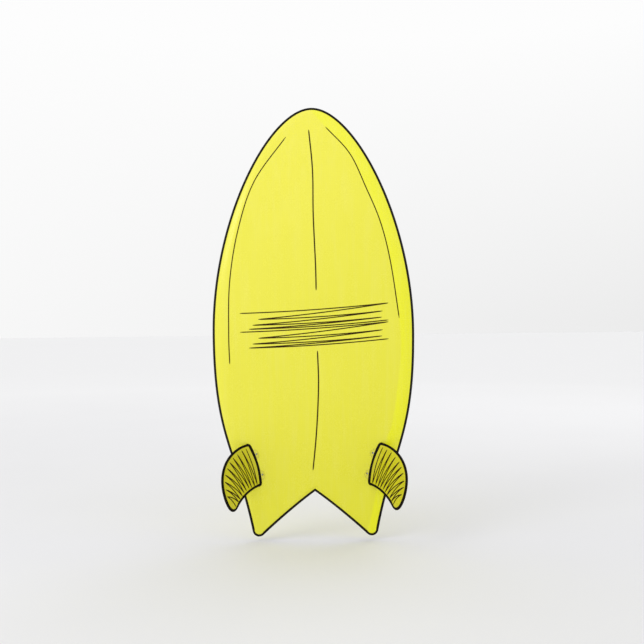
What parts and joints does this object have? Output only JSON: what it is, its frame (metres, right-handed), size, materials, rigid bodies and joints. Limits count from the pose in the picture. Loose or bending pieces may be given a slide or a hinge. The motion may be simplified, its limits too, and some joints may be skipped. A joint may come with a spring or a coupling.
{
  "type": "surfboard",
  "caption": "Short swallow-tail surfboard: glassed foam blank with a wooden stringer, black rail band, plug-in twin fins held by grub screws, and a leash cup on the deck.",
  "frame": {"origin": "centre of the flat middle of the deck, on its surface", "axes": "+Z along the board to the nose, +Y out of the deck, -Y out of the bottom on the fin side, +X to the right when the bottom is faced with the nose up"},
  "size_m": [0.563, 0.1866, 1.2165],
  "materials": {
    "foam": "shaped rigid foam",
    "wood": "sawn light hardwood strip",
    "yellow_glass": "polished yellow-tinted glass fibre laminate",
    "black_glass": "polished black rail band",
    "dense_foam": "dense foam insert",
    "plug_nylon": "moulded nylon sanded flush",
    "steel": "bright stainless steel",
    "fin_glass": "sanded and glossed olive-yellow fin laminate",
    "cup_nylon": "moulded black nylon"
  },
  "bodies": {
    "board": {"foam_core_right": "foam", "foam_core_left": "foam", "stringer": "wood", "bottom_laminate": "yellow_glass", "deck_laminate": "yellow_glass", "rail_band": "black_glass", "fin_insert_right": "dense_foam", "fin_insert_left": "dense_foam", "leash_insert": "dense_foam", "fin_plug_right_front": "plug_nylon", "fin_plug_left_front": "plug_nylon", "fin_plug_right_rear": "plug_nylon", "fin_plug_left_rear": "plug_nylon", "leash_cup": "cup_nylon", "leash_pin": "steel"},
    "right_fin": {"fin_right": "fin_glass"},
    "left_fin": {"fin_left": "fin_glass"},
    "right_front_screw": {"fin_screw_right_front": "steel"},
    "right_rear_screw": {"fin_screw_right_rear": "steel"},
    "left_front_screw": {"fin_screw_left_front": "steel"},
    "left_rear_screw": {"fin_screw_left_rear": "steel"}
  },
  "joints": [
    {"name": "right_fin_pull", "type": "slide", "parent": "board", "child": "right_fin", "axis": [0.6029, -0.7634, -0.2317], "range_m": [0, 0.03]},
    {"name": "left_fin_pull", "type": "slide", "parent": "board", "child": "left_fin", "axis": [-0.6029, -0.7634, -0.2317], "range_m": [0, 0.03]},
    {"name": "right_front_screw_out", "type": "slide", "parent": "board", "child": "right_front_screw", "axis": [-0.4272, -0.9032, 0.0405], "range_m": [0, 0.004]},
    {"name": "right_rear_screw_out", "type": "slide", "parent": "board", "child": "right_rear_screw", "axis": [-0.4272, -0.9032, 0.0405], "range_m": [0, 0.004]},
    {"name": "left_front_screw_out", "type": "slide", "parent": "board", "child": "left_front_screw", "axis": [0.4272, -0.9032, 0.0405], "range_m": [0, 0.004]},
    {"name": "left_rear_screw_out", "type": "slide", "parent": "board", "child": "left_rear_screw", "axis": [0.4272, -0.9032, 0.0405], "range_m": [0, 0.004]}
  ]
}
